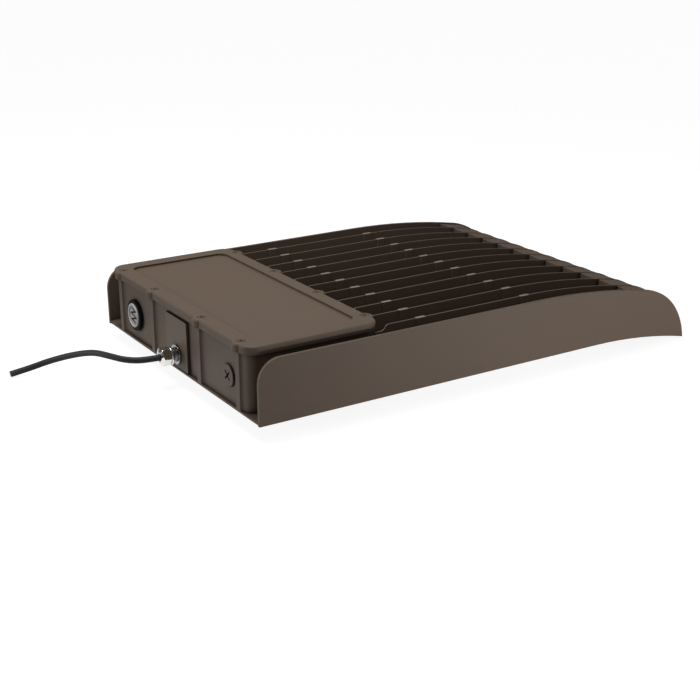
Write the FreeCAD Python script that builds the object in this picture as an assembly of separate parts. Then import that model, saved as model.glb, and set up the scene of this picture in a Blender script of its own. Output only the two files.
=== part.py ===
import FreeCAD, Part
import math
import os

# LED flood light: a die-cast finned heat sink with a gasketed driver box at one end and the
# light engine underneath. Millimetres. While it is modelled, X runs from the driver end of the
# side plates to the nose, Y across from the centre plane and Z up from the bottom edge of the
# plates. At the end every piece moves so that the origin is at the arm's bolt pattern.

V = FreeCAD.Vector

# Overall form
length = 463.0
width = 300.0
plate_h = 54.6
plate_t = 3.0
plate_corner_r = 20.0
visor_drop = 12.6
droop_len = 112.0
arch_len = 184.0
arch_r = 720.0
nose_r = 63.5
nose_len = 72.0

# Heat sink
fin_count = 11
fin_margin = 20.0
fin_t = 1.5
fin_drop = 1.0
rib_h = 0.5
skin_t = 4.0
skin_lift = 2.0
bay_len = 121.5
bay_t = 3.0
bay_undercut = 0.9
lip_out = 0.4
lip_t = 0.7
riser_t = 4.0
deck_z = 12.0
deck_t = 5.0
shelf_drop = 5.0
shelf_len = 6.0
rise_len = 9.0
pad_len = 10.0
pad_w = 3.8
pad_r = 1.5
pad_rise = 0.3
pad_steps = (46.5, 159.5)
drain_w = 9.0
drain_depth = 1.4
slit_w = 2.4
slit_depth = 3.0

# Arm interface under the driver bay
arm_from_end = 62.0
arm_pitch_x = 60.0
arm_pitch_y = 120.0
arm_boss_r = 10.0
arm_hole_r = 3.4
arm_hole_depth = 11.0
arm_web_t = 5.0
arm_web_gap = 2.0

# Driver box
box_front = 2.0
box_back_gap = 3.5
box_side_gap = 17.0
box_wall = 3.0
box_floor = 2.5
box_corner_r = 8.0
rim_w = 7.0
rim_h = 5.0
front_post_r = 4.4
front_post_in = 2.0
front_post_y = 46.0
front_post_end = 14.5
end_rib_half = 3.3
end_rib_out = 2.4
end_rib_cove = 4.0
end_rib_gap = 0.4
back_post_r = 4.5
back_post_drop = 26.0
back_post_out = 2.0
back_posts = (1.5, 4.5)
box_screw_end = 24.0
box_screw_side = 11.0
box_boss_wall = 2.4
box_boss_h = 2.2
box_boss_cap = 1.0

# Lid
lid_top = 60.6
lid_t = 4.0
skirt_h = 7.2
skirt_gap = 0.5
lid_front_over = 3.5
lid_back_over = 5.5
lid_side_over = 5.0
lid_corner_r = 13.0
lid_edge_r = 2.4
edge_reach = 0.1
ear_r = 7.5
ear_out = 0.7
recess_depth = 1.8
recess_side = 15.8
recess_end = 14.0
recess_r = 9.0
gasket_t = 2.0
gasket_w = 2.6

# Fasteners
lid_screw_r = 1.9
lid_head_r = 3.3
lid_head_h = 1.6
lid_screw_len = 16.0
screw_gap = 0.2
head_gap = 0.4
small_screw_r = 1.9
small_head_r = 3.6
small_head_h = 2.2
slot_w = 0.9
slot_depth = 1.1

# Entry plate and cable gland
entry_y0 = -24.4
entry_y1 = 16.5
entry_z0 = 4.0
entry_z1 = 49.3
entry_corner_r = 1.0
entry_plate_t = 2.0
entry_gasket_t = 0.6
gland_y = -4.5
gland_z = 16.0
gland_flats = 15.0
gland_collar_r = 8.6
gland_collar_t = 1.8
gland_neck_r = 6.0
gland_neck_len = 4.6
gland_flange_r = 8.4
gland_flange_t = 1.8
gland_flange_edge = 0.5
gland_thread_r = 5.2
gland_thread_len = 3.0
gland_bore_r = 3.2
gland_tail = 4.5
gland_locknut_t = 3.5
gland_nut_len = 7.0
gland_dome_len = 1.4
gland_nut_wall = 1.8
gland_ring_t = 0.6
running_gap = 0.3
fit_gap = 0.2

# Supply cord
cord_d = 5.5
cord_route = [
    (-13.0, -4.5, 16.0),
    (-30.0, -4.5, 16.0),
    (-44.5, 3.0, 16.6),
    (-54.0, 17.5, 18.0),
    (-60.0, 34.0, 17.2),
    (-67.0, 50.5, 12.6),
    (-76.0, 67.0, 6.2),
    (-87.5, 82.5, -1.2),
    (-101.0, 91.5, -7.6),
    (-118.0, 94.5, -9.8),
]

# Photocell
cell_from_end = 44.7
cell_z = 26.0
cell_flange_r = 14.5
cell_flange_t = 2.7
cell_thread_r = 10.8
cell_body_len = 27.0
cell_lens_r = 11.2
cell_lens_t = 1.0
cell_lens_out = 1.1
cell_lens_edge = 0.8
cell_dome = 0.7
cell_disc_r = 8.6
cell_disc_t = 1.0
cell_seal_t = 0.6
cell_nut_flats = 27.0
cell_nut_t = 4.0

# Conduit plug
plug_from_end = 33.0
plug_z = 26.3
plug_head_r = 9.6
plug_head_t = 1.4
plug_thread_r = 8.8
plug_len = 13.0
plug_seal_t = 0.5
plug_seal_r = 9.9
plug_slot_len = 10.5
plug_slot_w = 1.7
plug_slot_depth = 2.0

# Parts inside the driver box
driver_end_room = 42.0
driver_front_gap = 2.0
driver_h = 34.0
driver_y = -12.0
driver_back_gap = 7.0
driver_foot = 12.0
driver_foot_t = 1.6
driver_edge_r = 2.0
block_size = (30.0, 22.0, 19.0)
block_x = 16.0
block_y = 16.0
block_poles = 3
block_cup_r = 3.2
block_cup_depth = 4.0
block_screw_h = 2.0
mouth_depth = 5.0
mouth_low = 4.0
mouth_high = 10.5
core_d = 2.4
core_spread = 1.45
driver_core_y = -30.0
driver_core_step = 6.0
earth_reach = 24.0
earth_slope = 4.0
cell_lead_gap = 10.0
cell_lead_run = 40.0
lead_slack = 3.0
earth_screw_r = 2.5
earth_head_r = 4.5
earth_head_h = 2.8
harness_d = 4.0
harness_fins = 2.5
harness_z = 22.0
harness_drop = 26.0
tunnel_w = 12.0
tunnel_top = 31.0
grommet_lip = 1.6
grommet_lip_t = 1.5
grommet_wall = 1.6

# Light engine
engine_end_gap = 7.0
engine_side_gap = 7.0
frame_z = 3.5
frame_t = 3.0
frame_window_r = 6.0
lens_t = 3.0
lens_edge = 8.0
lens_flange = 5.0
lens_mid_gap = 12.0
lens_side_gap = 15.0
lens_corner_r = 6.0
lens_gasket_w = 4.0
board_t = 1.6
board_gap = 1.5
led_side = 5.0
led_t = 0.7
dome_rows = 3
dome_columns = 6
dome_r = 9.0
dome_h = 3.8
post_r = 3.8
post_rows = 4
post_edge = 4.0
post_cap = 2.0

# Places worked out from the sizes above
half = width / 2
inner_half = half - plate_t
nose_x = length - nose_len
arch_x = length - arch_len
droop_x = length - droop_len
deck_top = deck_z + deck_t
fin_top = plate_h - fin_drop
fin_pitch = 2 * (inner_half - fin_margin) / (fin_count - 1)
box_half = inner_half - box_side_gap
box_back = bay_len - box_back_gap
box_bottom = bay_t
tray_top = box_bottom + box_floor
box_screw_end_z = tray_top + box_boss_h - box_boss_cap
skirt_z = lid_top - skirt_h
ceiling_z = lid_top - lid_t
rim_z = ceiling_z - gasket_t
front_post_x = box_front + front_post_in
back_post_x = box_back + back_post_out
shelf_z = fin_top - shelf_drop
shelf_end = bay_len + shelf_len
fin_ys = [fin_pitch * (k - (fin_count - 1) / 2) for k in range(fin_count)]
front_post_ys = [s * y for y in (front_post_y, box_half - front_post_end) for s in (-1, 1)]
back_post_ys = [s * fin_pitch * y for y in back_posts for s in (-1, 1)]
pad_xs = [bay_len + step for step in pad_steps]
cell_y = box_half - cell_from_end
plug_y = plug_from_end - box_half
driver_l = 2 * (box_half - driver_end_room)
harness_y = harness_fins * fin_pitch
screw_posts = [(front_post_x, y) for y in front_post_ys] + [(back_post_x, y) for y in back_post_ys]
lens_z = frame_z + frame_t
lens_top = lens_z + lens_t
board_z = deck_z - board_t
engine_x0 = bay_len + riser_t + engine_end_gap
engine_x1 = nose_x - engine_end_gap
lens_x0 = engine_x0 + lens_edge
lens_x1 = engine_x1 - lens_edge
lens_y0 = lens_mid_gap / 2
lens_y1 = inner_half - lens_side_gap


def box(x0, x1, y0, y1, z0, z1):
    return Part.makeBox(x1 - x0, y1 - y0, z1 - z0, V(x0, y0, z0))


def slab(x0, x1, y0, y1, z0, z1, r, along="z"):
    """A box with the four edges along one axis rounded, the upright ones unless another is named."""
    solid = box(x0, x1, y0, y1, z0, z1)
    chosen = [e for e in solid.Edges if abs(getattr(e.tangentAt(e.FirstParameter), along)) > 0.9]
    return solid.makeFillet(r, chosen)


def rod_x(x0, x1, y, z, r):
    return Part.makeCylinder(r, x1 - x0, V(x0, y, z), V(1, 0, 0))


def rod_z(z0, z1, x, y, r):
    return Part.makeCylinder(r, z1 - z0, V(x, y, z0), V(0, 0, 1))


def hex_x(x0, x1, y, z, flats):
    """A hexagonal prism along X with flats above and below, its corners rounded off by a turned blank."""
    reach = flats / math.sqrt(3)
    turns = [math.radians(60 * k) for k in range(7)]
    corners = [V(x0, y + reach * math.cos(a), z + reach * math.sin(a)) for a in turns]
    prism = Part.Face(Part.makePolygon(corners)).extrude(V(x1 - x0, 0, 0))
    return prism.common(rod_x(x0, x1, y, z, reach * 0.96))


def arc_xz(cx, cz, r, a0, a1):
    spots = [V(cx + r * math.cos(a), 0, cz + r * math.sin(a)) for a in (a0, (a0 + a1) / 2, a1)]
    return Part.Arc(*spots).toShape()


def line(x0, z0, x1, z1):
    return Part.makeLine(V(x0, 0, z0), V(x1, 0, z1))


def prism_y(edges, y0, y1):
    face = Part.Face(Part.Wire(Part.__sortEdges__(edges)))
    face.translate(V(0, y0, 0))
    return face.extrude(V(0, y1 - y0, 0))


def join(first, others):
    return first.multiFuse(others).removeSplitter()


def tube(points, diameter, fold=0.45):
    """A round tube along straight runs joined by tangent arcs as large as the runs allow."""
    spots = [V(*p) for p in points]
    edges = []
    radii = []
    start = spots[0]
    for before, corner, after in zip(spots, spots[1:], spots[2:]):
        way_in = (corner - before).normalize()
        way_out = (after - corner).normalize()
        turn = way_in.getAngle(way_out)
        cut = fold * min((corner - before).Length, (after - corner).Length)
        radius = cut / math.tan(turn / 2)
        radii.append(radius)
        enter = corner - way_in * cut
        leave = corner + way_out * cut
        bisector = (way_out - way_in).normalize()
        middle = corner + bisector * (radius / math.cos(turn / 2) - radius)
        edges.append(Part.LineSegment(start, enter).toShape())
        edges.append(Part.Arc(enter, middle, leave).toShape())
        start = leave
    edges.append(Part.LineSegment(start, spots[-1]).toShape())
    path = Part.Wire(edges)
    heading = (spots[1] - spots[0]).normalize()
    ring = Part.Wire(Part.makeCircle(diameter / 2, spots[0], heading))
    return path.makePipeShell([ring], True, False), path.Length, radii


# Curves of the crown: a long arch from the flat top, then the nose, both tangent
arch_cz = plate_h - arch_r


def nose_centre():
    """The centre of the nose arc, which touches the arch from inside and ends at the visor's tip."""
    dx = length - arch_x
    dz = -visor_drop - arch_cz
    reach = math.hypot(dx, dz)
    near = arch_r - nose_r
    along = (near ** 2 - nose_r ** 2 + reach ** 2) / (2 * reach)
    aside = math.sqrt(near ** 2 - along ** 2)
    ux = dx / reach
    uz = dz / reach
    return arch_x + along * ux - aside * uz, arch_cz + along * uz + aside * ux


nose_cx, nose_cz = nose_centre()
join_angle = math.atan2(nose_cz - arch_cz, nose_cx - arch_x)


def arch_z(x, inset):
    return arch_cz + math.sqrt((arch_r - inset) ** 2 - (x - arch_x) ** 2)


def crown(start_x, inset, end_z):
    """Arch and nose edges from start_x to the height end_z, with both end points."""
    reach = arch_r - inset
    tip_r = nose_r - inset
    start_angle = math.acos((start_x - arch_x) / reach)
    end_angle = math.asin((end_z - nose_cz) / tip_r)
    edges = [
        arc_xz(arch_x, arch_cz, reach, start_angle, join_angle),
        arc_xz(nose_cx, nose_cz, tip_r, join_angle, end_angle),
    ]
    end_x = nose_cx + tip_r * math.cos(end_angle)
    return edges, (start_x, arch_z(start_x, inset)), (end_x, end_z)


def side_plate(y0, y1):
    edges, top, tip = crown(arch_x, 0.0, -visor_drop)
    droop_r = (droop_len ** 2 + visor_drop ** 2) / (2 * visor_drop)
    sweep = math.asin(droop_len / droop_r)
    edges.append(line(0, 0, droop_x, 0))
    edges.append(arc_xz(droop_x, -droop_r, droop_r, math.pi / 2, math.pi / 2 - sweep))
    edges.append(line(plate_corner_r, plate_h, arch_x, plate_h))
    edges.append(arc_xz(plate_corner_r, plate_h - plate_corner_r, plate_corner_r, math.pi / 2, math.pi))
    edges.append(line(0, plate_h - plate_corner_r, 0, 0))
    return prism_y(edges, y0, y1)


def fin(y):
    """One fin: a low shelf under the lid's edge, an S-curve up, then the arch to the nose."""
    end_z = -visor_drop + skin_lift
    edges, top, tip = crown(arch_x, fin_drop, end_z)
    climb = fin_top - shelf_z
    bend_r = (rise_len ** 2 + climb ** 2) / (4 * climb)
    bend = math.asin(rise_len / 2 / bend_r)
    rise_end = shelf_end + rise_len
    down = -math.pi / 2
    up = math.pi / 2
    edges += [
        line(bay_len, deck_z, bay_len, shelf_z),
        line(bay_len, shelf_z, shelf_end, shelf_z),
        arc_xz(shelf_end, shelf_z + bend_r, bend_r, down, down + bend),
        arc_xz(rise_end, fin_top - bend_r, bend_r, up + bend, up),
        line(rise_end, fin_top, arch_x, fin_top),
        line(tip[0], tip[1], nose_x, deck_z),
        line(nose_x, deck_z, bay_len, deck_z),
    ]
    return prism_y(edges, y - fin_t / 2, y + fin_t / 2)


def nose_blocks():
    """The solid nose under the ribs, and the hollow that leaves it a skin and a cross wall."""
    end_z = -visor_drop + skin_lift
    outer, top, tip = crown(nose_x, fin_drop + rib_h, end_z)
    outer += [
        line(tip[0], tip[1], nose_x, deck_z),
        line(nose_x, deck_z, top[0], top[1]),
    ]
    low = -visor_drop - skin_t
    inner, top, tip = crown(nose_x + skin_t, fin_drop + rib_h + skin_t, end_z)
    inner += [
        line(tip[0], tip[1], tip[0], low),
        line(tip[0], low, top[0], low),
        line(top[0], low, top[0], top[1]),
    ]
    return prism_y(outer, -inner_half, inner_half), prism_y(inner, -inner_half, inner_half)


def arm_spots():
    return [
        (arm_from_end + sx * arm_pitch_x / 2, sy * arm_pitch_y / 2)
        for sx in (-1, 1)
        for sy in (-1, 1)
    ]


def engine_posts():
    step = (engine_x1 - engine_x0 - 2 * post_edge) / (post_rows - 1)
    across = lens_y1 + (inner_half - lens_y1 - engine_side_gap) / 2 + 1.0
    return [
        (engine_x0 + post_edge + k * step, y)
        for k in range(post_rows)
        for y in (-across, 0.0, across)
    ]


def heat_sink():
    floor = box(bay_undercut, bay_len + riser_t, -inner_half, inner_half, 0, bay_t)
    lip = box(-lip_out, bay_undercut + lip_t, -inner_half, inner_half, bay_t - lip_t, bay_t)
    riser = box(bay_len, bay_len + riser_t, -inner_half, inner_half, 0, deck_top)
    deck = box(bay_len, nose_x + skin_t, -inner_half, inner_half, deck_z, deck_top)
    block, hollow = nose_blocks()
    body = [lip, riser, deck, block]
    body += [fin(y) for y in fin_ys]
    for y in fin_ys:
        for x in pad_xs:
            body.append(slab(x - pad_len / 2, x + pad_len / 2, y - pad_w / 2, y + pad_w / 2, deck_z,
                             fin_top + pad_rise, pad_r))
    for side in (-1, 1):
        wall = box(bay_len, bay_len + harness_drop + tunnel_w / 2, side * harness_y - tunnel_w / 2,
                   side * harness_y + tunnel_w / 2, deck_z, tunnel_top)
        body.append(wall)
    for x, y in engine_posts():
        body.append(rod_z(lens_z, deck_top, x, y, post_r))
    web_low = -visor_drop + arm_web_gap
    x0 = arm_from_end - arm_pitch_x / 2
    x1 = arm_from_end + arm_pitch_x / 2
    y1 = arm_pitch_y / 2
    for x in (x0, x1):
        body.append(box(x - arm_web_t / 2, x + arm_web_t / 2, -y1, y1, web_low, bay_t))
    for y in (-y1, y1):
        body.append(box(x0, x1, y - arm_web_t / 2, y + arm_web_t / 2, web_low, bay_t))
    for x, y in arm_spots():
        body.append(rod_z(-visor_drop, bay_t, x, y, arm_boss_r))
    body.append(side_plate(-half, -inner_half))
    body.append(side_plate(inner_half, half))
    whole = join(floor, body)

    cuts = [hollow]
    for x, y in arm_spots():
        cuts.append(rod_z(-visor_drop, -visor_drop + arm_hole_depth, x, y, arm_hole_r))
    for x, y in engine_posts():
        cuts.append(rod_z(lens_z, deck_top - post_cap, x, y, small_screw_r + screw_gap))
    for x, y in box_screw_spots():
        cuts.append(rod_z(-1, bay_t + 1, x, y, small_screw_r + screw_gap))
    bore = harness_d / 2 + fit_gap + 0.6
    for side in (-1, 1):
        end = bay_len + harness_drop
        cuts.append(rod_x(bay_len - 1, end, side * harness_y, harness_z, bore))
        cuts.append(rod_z(deck_z - 1, harness_z + 2 * bore, end, side * harness_y, bore + fit_gap))
    top = arch_z(nose_x, 0.0)
    for y in fin_ys:
        near_face = y - fin_t / 2
        cuts.append(box(nose_x - 1, nose_x + drain_depth, near_face - drain_w, near_face, deck_top, top))
        cuts.append(box(nose_x - 1, nose_x + slit_depth, near_face - slit_w, near_face, deck_top, top))
    return whole.cut(cuts)


def box_screw_spots():
    x0 = box_front + box_screw_end
    x1 = box_back - box_screw_end
    y = box_half - box_screw_side
    return [(x, s * y) for x in (x0, x1) for s in (-1, 1)]


def end_rib(y):
    """A flat rib in front of a screw column, its sides hollow curves that run out in the end wall."""
    cove_r = (end_rib_cove ** 2 + end_rib_out ** 2) / (2 * end_rib_out)
    front = box_front - end_rib_out
    low = box_bottom
    lean = math.acos(1 - end_rib_out / cove_r)

    def cove(side):
        foot = y + side * (end_rib_half + end_rib_cove)
        spots = [V(box_front - cove_r * (1 - math.cos(a)), foot - side * cove_r * math.sin(a), low)
                 for a in (0, lean / 2, lean)]
        return Part.Arc(*spots).toShape(), spots[0], spots[-1]

    left, left_foot, left_edge = cove(1)
    right, right_foot, right_edge = cove(-1)
    root = V(box_wall / 2, 0, 0)
    outline = [
        left,
        Part.makeLine(left_edge, right_edge),
        right,
        Part.makeLine(right_foot, right_foot + root),
        Part.makeLine(right_foot + root, left_foot + root),
        Part.makeLine(left_foot + root, left_foot),
    ]
    face = Part.Face(Part.Wire(Part.__sortEdges__(outline)))
    return face.extrude(V(0, 0, skirt_z - end_rib_gap - low))


def driver_box():
    outer = slab(box_front, box_back, -box_half, box_half, box_bottom, rim_z, box_corner_r)
    w = box_wall
    room = slab(box_front + w, box_back - w, -box_half + w, box_half - w, tray_top, rim_z - rim_h,
                box_corner_r - w)
    m = rim_w
    mouth = slab(box_front + m, box_back - m, -box_half + m, box_half - m, rim_z - rim_h - 1, rim_z + 1,
                 box_corner_r - m)
    added = []
    for y in front_post_ys:
        added.append(rod_z(box_bottom, rim_z, front_post_x, y, front_post_r))
        added.append(end_rib(y))
    for y in back_post_ys:
        low = rim_z - back_post_drop
        post = rod_z(low, rim_z, back_post_x, y, back_post_r)
        foot = Part.makeCone(1.0, back_post_r, back_post_r, V(back_post_x, y, low - back_post_r))
        heel = box(box_back - 1, back_post_x, y - back_post_r, y + back_post_r, low, rim_z)
        added += [post, foot, heel]
    tray = outer.cut([room, mouth])
    for x, y in box_screw_spots():
        added.append(rod_z(box_bottom, tray_top + box_boss_h, x, y, small_screw_r + box_boss_wall))
    tray = join(tray, added)

    cuts = []
    cuts.append(rod_x(box_front - 1, box_front + box_wall + 1, gland_y, gland_z, gland_neck_r + fit_gap))
    cuts.append(rod_x(box_front - 1, box_front + box_wall + 1, cell_y, cell_z, cell_thread_r + fit_gap))
    cuts.append(rod_x(box_front - 1, box_front + box_wall + 1, plug_y, plug_z, plug_thread_r + running_gap))
    for x, y in screw_posts:
        cuts.append(rod_z(rim_z - lid_screw_len, rim_z + 1, x, y, lid_screw_r + screw_gap))
    for x, y in box_screw_spots():
        cuts.append(rod_z(box_bottom - 1, box_screw_end_z, x, y, small_screw_r + screw_gap))
    x, y = earth_spot()
    cuts.append(rod_z(box_bottom, tray_top + 1, x, y, earth_screw_r + screw_gap))
    for side in (-1, 1):
        cuts.append(rod_x(box_back - box_wall - 1, box_back + 1, side * harness_y, harness_z,
                          harness_d / 2 + fit_gap + grommet_wall + fit_gap))
    return tray.cut(cuts)


def soft_top(solid):
    """The solid with the edges of its top face rounded."""
    rim = [e for e in solid.Edges if e.BoundBox.ZMin > lid_top - edge_reach]
    return solid.makeFillet(lid_edge_r, rim)


def lid():
    x0 = box_front - lid_front_over
    x1 = box_back + lid_back_over
    y1 = box_half + lid_side_over
    cover = soft_top(slab(x0, x1, -y1, y1, skirt_z, lid_top, lid_corner_r))
    ears = [soft_top(rod_z(skirt_z, lid_top, x - ear_out, y, ear_r)) for x, y in screw_posts[:4]]
    ears += [soft_top(rod_z(skirt_z, lid_top, x, y, ear_r)) for x, y in screw_posts[4:]]
    blank = join(cover, ears)
    g = skirt_gap
    room = slab(box_front - g, box_back + g, -box_half - g, box_half + g, skirt_z - 1, ceiling_z,
                box_corner_r + g)
    cuts = [room]
    cuts += [rod_z(skirt_z - 1, ceiling_z, x, y, front_post_r + g) for x, y in screw_posts[:4]]
    cuts += [rod_z(skirt_z - 1, ceiling_z, x, y, back_post_r + g) for x, y in screw_posts[4:]]
    cuts.append(slab(x0 + recess_end, x1 - recess_end, -y1 + recess_side, y1 - recess_side,
                     lid_top - recess_depth, lid_top + 1, recess_r))
    for x, y in screw_posts:
        cuts.append(rod_z(ceiling_z - 1, lid_top + 1, x, y, lid_screw_r + head_gap))
        cuts.append(rod_z(lid_top - lid_head_h, lid_top + 1, x, y, lid_head_r + head_gap))
    return blank.cut(cuts)


def lid_gasket():
    m = rim_w
    inner = slab(box_front + m, box_back - m, -box_half + m, box_half - m, rim_z - 1, ceiling_z + 1,
                 box_corner_r - m)
    o = m - gasket_w
    outer = slab(box_front + o, box_back - o, -box_half + o, box_half - o, rim_z, ceiling_z,
                 box_corner_r - o)
    holes = [rod_z(rim_z - 1, ceiling_z + 1, x, y, lid_screw_r + head_gap) for x, y in screw_posts]
    return outer.cut([inner] + holes)


def cross_slot(x, y, z_top, reach):
    """Two crossed driver slots cut down from z_top."""
    deep = z_top - slot_depth
    along = box(x - reach, x + reach, y - slot_w / 2, y + slot_w / 2, deep, z_top + 1)
    across = box(x - slot_w / 2, x + slot_w / 2, y - reach, y + reach, deep, z_top + 1)
    return along.fuse(across)


def screw_down(x, y, head_z, head_r, head_h, shank_r, shank_len):
    """A screw put in from above: its head stands from head_z up, its shank hangs below."""
    head = rod_z(head_z, head_z + head_h, x, y, head_r)
    head = head.fuse(rod_z(head_z - shank_len, head_z, x, y, shank_r))
    return head.cut(cross_slot(x, y, head_z + head_h, head_r * 0.6)).removeSplitter()


def screw_up(x, y, head_z, head_r, head_h, shank_r, shank_len):
    """The same screw put in from below."""
    screw = screw_down(x, y, head_z, head_r, head_h, shank_r, shank_len)
    return screw.mirror(V(x, y, head_z), V(0, 0, 1))


def lid_screws():
    z = lid_top - lid_head_h
    return [
        screw_down(x, y, z, lid_head_r, lid_head_h, lid_screw_r, z - rim_z + lid_screw_len - 1.0)
        for x, y in screw_posts
    ]


def box_screws():
    return [
        screw_up(x, y, 0.0, small_head_r, small_head_h, small_screw_r, box_screw_end_z - head_gap)
        for x, y in box_screw_spots()
    ]


plate_front = box_front - entry_gasket_t - entry_plate_t


def entry_plate():
    front = slab(plate_front, plate_front + entry_plate_t, entry_y0, entry_y1, entry_z0, entry_z1,
                 entry_corner_r, "x")
    return front.cut(rod_x(plate_front - 1, box_front, gland_y, gland_z, gland_neck_r + fit_gap))


def entry_gasket():
    pad = slab(plate_front + entry_plate_t, box_front, entry_y0, entry_y1, entry_z0, entry_z1,
               entry_corner_r, "x")
    return pad.cut(rod_x(plate_front, box_front + 1, gland_y, gland_z, gland_neck_r + fit_gap))


# Stations of the cable gland along its axis, from the entry plate outwards
collar_x = plate_front - gland_collar_t
flange_x1 = collar_x - gland_neck_len
flange_x0 = flange_x1 - gland_flange_t
thread_x = flange_x0 - gland_thread_len
nut_x1 = flange_x0 - fit_gap
nut_x0 = nut_x1 - gland_nut_len
nut_tip = nut_x0 - gland_dome_len
nut_seat = nut_tip + gland_nut_wall
ring_x = nut_seat + gland_ring_t
wall_in = box_front + box_wall


def gland_collar():
    collar = rod_x(collar_x, plate_front, gland_y, gland_z, gland_collar_r)
    return collar.cut(rod_x(collar_x - 1, plate_front + 1, gland_y, gland_z, gland_neck_r + fit_gap))


def gland_body():
    flange = rod_x(flange_x0, flange_x1, gland_y, gland_z, gland_flange_r)
    rims = [e for e in flange.Edges if e.BoundBox.XLength < gland_flange_t / 2]
    flange = flange.makeFillet(gland_flange_edge, rims)
    screw = rod_x(thread_x, flange_x0, gland_y, gland_z, gland_thread_r)
    neck = rod_x(flange_x1, wall_in + gland_tail, gland_y, gland_z, gland_neck_r)
    body = join(neck, [flange, screw])
    return body.cut(rod_x(thread_x - 1, wall_in + gland_tail + 1, gland_y, gland_z, gland_bore_r))


def gland_locknut():
    nut_end = wall_in + gland_locknut_t
    nut = hex_x(wall_in, nut_end, gland_y, gland_z, gland_flats)
    return nut.cut(rod_x(wall_in - 1, nut_end + 1, gland_y, gland_z, gland_neck_r + fit_gap))


def gland_seal():
    seal = rod_x(ring_x + fit_gap, thread_x, gland_y, gland_z, gland_thread_r)
    return seal.cut(rod_x(ring_x - 1, thread_x + 1, gland_y, gland_z, cord_d / 2 + fit_gap))


def gland_ring():
    ring = rod_x(nut_seat, ring_x, gland_y, gland_z, gland_thread_r)
    return ring.cut(rod_x(nut_seat - 1, ring_x + 1, gland_y, gland_z, cord_d / 2 + running_gap))


def gland_nut():
    """A hexagon whose outer end is turned to a dome, bored for its thread and for the cord."""
    reach = gland_flats / math.sqrt(3)
    profile = [
        V(nut_tip, 0, 0),
        V(nut_tip, 0, gland_thread_r - 0.6),
        V(nut_x0, 0, reach * 0.97),
        V(nut_x1, 0, reach * 0.97),
        V(nut_x1, 0, 0),
        V(nut_tip, 0, 0),
    ]
    turned = Part.Face(Part.makePolygon(profile)).revolve(V(0, 0, 0), V(1, 0, 0), 360)
    turned.translate(V(0, gland_y, gland_z))
    nut = hex_x(nut_tip, nut_x1, gland_y, gland_z, gland_flats).common(turned)
    thread = rod_x(nut_seat, nut_x1 + 1, gland_y, gland_z, gland_thread_r + running_gap)
    mouth = rod_x(nut_tip - 1, nut_seat + 1, gland_y, gland_z, cord_d / 2 + 2 * running_gap)
    return nut.cut([thread, mouth])


# Stations of the photocell along its axis
cell_back = box_front - cell_seal_t
cell_front = cell_back - cell_flange_t
lens_seat = cell_front + cell_lens_t
disc_floor = lens_seat + cell_disc_t


def photocell_body():
    flange = rod_x(cell_front, cell_back, cell_y, cell_z, cell_flange_r)
    rim = [e for e in flange.Edges if e.BoundBox.XMax < cell_front + 0.1]
    flange = flange.makeChamfer(0.6, rim)
    body = flange.fuse(rod_x(cell_back, cell_body_len, cell_y, cell_z, cell_thread_r)).removeSplitter()
    return body.cut([
        rod_x(cell_front - 1, lens_seat, cell_y, cell_z, cell_lens_r + fit_gap),
        rod_x(lens_seat - 1, disc_floor, cell_y, cell_z, cell_disc_r + fit_gap),
    ])


def photocell_lens():
    """A light disc that stands out of the flange, its front edge rounded and its face a little domed."""
    front = cell_front - cell_lens_out
    rim = rod_x(front, lens_seat, cell_y, cell_z, cell_lens_r)
    edge = [e for e in rim.Edges if e.BoundBox.XMax < front + 0.1]
    rim = rim.makeFillet(cell_lens_edge, edge)
    cap_r = cell_lens_r - cell_lens_edge - fit_gap
    ball_r = (cap_r ** 2 + cell_dome ** 2) / (2 * cell_dome)
    ball = Part.makeSphere(ball_r, V(front - cell_dome + ball_r, cell_y, cell_z))
    dome = ball.common(rod_x(front - cell_dome - 1, front, cell_y, cell_z, cap_r))
    return rim.fuse(dome).removeSplitter()


def photocell_disc():
    return rod_x(lens_seat, disc_floor, cell_y, cell_z, cell_disc_r)


def photocell_seal():
    seal = rod_x(cell_back, box_front, cell_y, cell_z, cell_flange_r - 0.6)
    return seal.cut(rod_x(cell_back - 1, box_front + 1, cell_y, cell_z, cell_thread_r + fit_gap))


def photocell_nut():
    x0 = box_front + box_wall
    nut = hex_x(x0, x0 + cell_nut_t, cell_y, cell_z, cell_nut_flats)
    return nut.cut(rod_x(x0 - 1, x0 + cell_nut_t + 1, cell_y, cell_z, cell_thread_r + fit_gap))


def conduit_plug():
    back = box_front - plug_seal_t
    front = back - plug_head_t
    head = rod_x(front, back, plug_y, plug_z, plug_head_r)
    rim = [e for e in head.Edges if e.BoundBox.XMax < front + 0.1]
    head = head.makeFillet(0.7, rim)
    plug = head.fuse(rod_x(back, back + plug_len, plug_y, plug_z, plug_thread_r)).removeSplitter()
    bar = box(front - 1, front + plug_slot_depth, plug_y - plug_slot_len / 2, plug_y + plug_slot_len / 2,
              plug_z - plug_slot_w / 2, plug_z + plug_slot_w / 2)
    bars = [bar.copy(), bar.copy()]
    for turned, angle in zip(bars, (45, -45)):
        turned.rotate(V(front, plug_y, plug_z), V(1, 0, 0), angle)
    return plug.cut(bars)


def plug_seal():
    back = box_front - plug_seal_t
    ring = rod_x(back, box_front, plug_y, plug_z, plug_seal_r)
    return ring.cut(rod_x(back - 1, box_front + 1, plug_y, plug_z, plug_thread_r + running_gap))


# Driver, its feet and what is wired to it
driver_x1 = box_back - box_wall - driver_back_gap
driver_x0 = block_x + block_size[0] + driver_front_gap
driver_w = driver_x1 - driver_x0
driver_y0 = driver_y - driver_l / 2
driver_y1 = driver_y + driver_l / 2


def driver_foot_spots():
    x = (driver_x0 + driver_x1) / 2
    inset = driver_foot / 2
    return [
        (x + sx * driver_w / 4, y)
        for sx in (-1, 1)
        for y in (driver_y0 - inset, driver_y1 + inset)
    ]


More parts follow.
